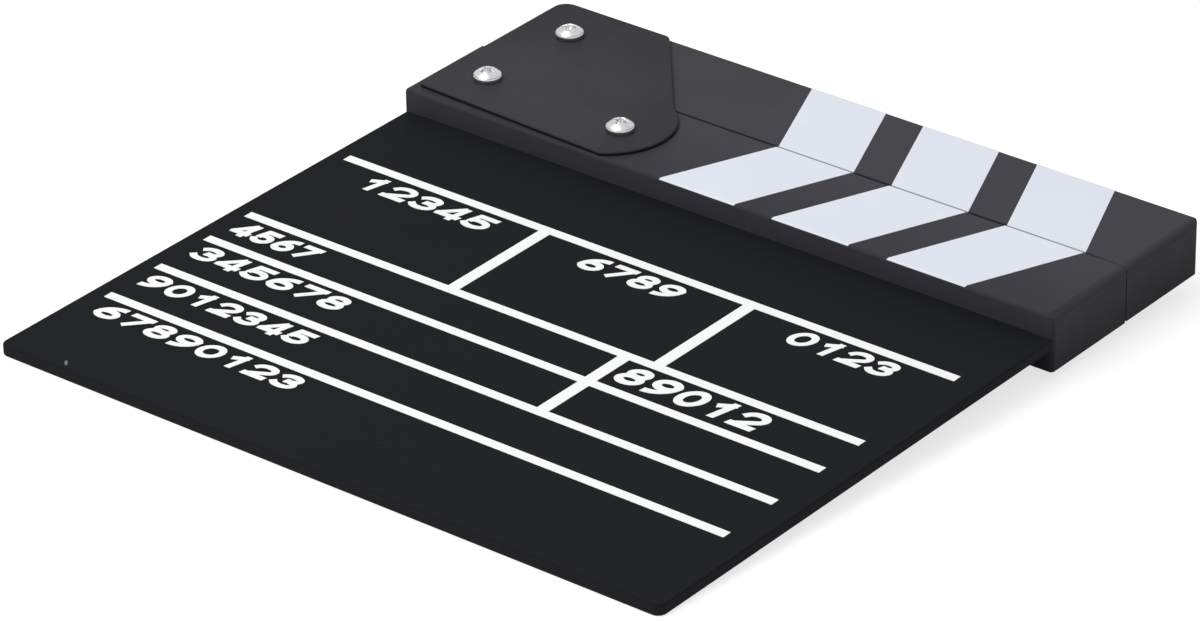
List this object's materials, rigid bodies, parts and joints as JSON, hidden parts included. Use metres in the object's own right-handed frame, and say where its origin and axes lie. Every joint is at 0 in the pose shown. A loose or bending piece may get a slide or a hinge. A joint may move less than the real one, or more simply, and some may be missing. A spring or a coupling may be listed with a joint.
{
  "type": "clapperboard",
  "caption": "Small wooden clapperboard: black slate board in a grooved fixed stick, with a striped clap stick that swings open on a two-plate corner hinge.",
  "frame": {"origin": "on the resting plane under the middle of the closed clapperboard, which lies with its written face up", "axes": "+X along the sticks away from the hinge, +Y from the board's low edge to the clap stick, +Z out of the written face"},
  "size_m": [0.2, 0.2152, 0.0217],
  "materials": {
    "slate_paint": "matt black board paint on hardboard",
    "stick_paint": "satin black paint on wood",
    "hinge_paint": "fine textured black powder coat",
    "bright_steel": "bright nickel plate",
    "pin_steel": "plain wire",
    "white_film": "satin white film",
    "white_ink": "matt white screen print"
  },
  "bodies": {
    "slate": {"slate_board": "slate_paint", "fixed_stick": "stick_paint", "front_hinge_plate": "hinge_paint", "back_hinge_plate": "hinge_paint", "pivot_screw": "bright_steel", "heel_screw": "bright_steel", "toe_screw": "bright_steel", "pivot_barrel": "bright_steel", "heel_barrel": "bright_steel", "toe_barrel": "bright_steel", "panel_pin_1": "pin_steel", "panel_pin_2": "pin_steel", "panel_pin_3": "pin_steel", "panel_pin_4": "pin_steel", "fixed_stripe_1": "white_film", "fixed_stripe_2": "white_film", "fixed_stripe_3": "white_film", "form_grid": "white_ink", "form_line": "white_ink"},
    "clapper": {"clap_stick": "stick_paint", "clap_stripe_1": "white_film", "clap_stripe_2": "white_film", "clap_stripe_3": "white_film"}
  },
  "joints": [
    {"name": "clap_hinge", "type": "hinge", "parent": "slate", "child": "clapper", "pos_m": [-0.0842, 0.0919, 0.0103], "axis": [0, 0, 1], "range_deg": [0, 99]}
  ]
}
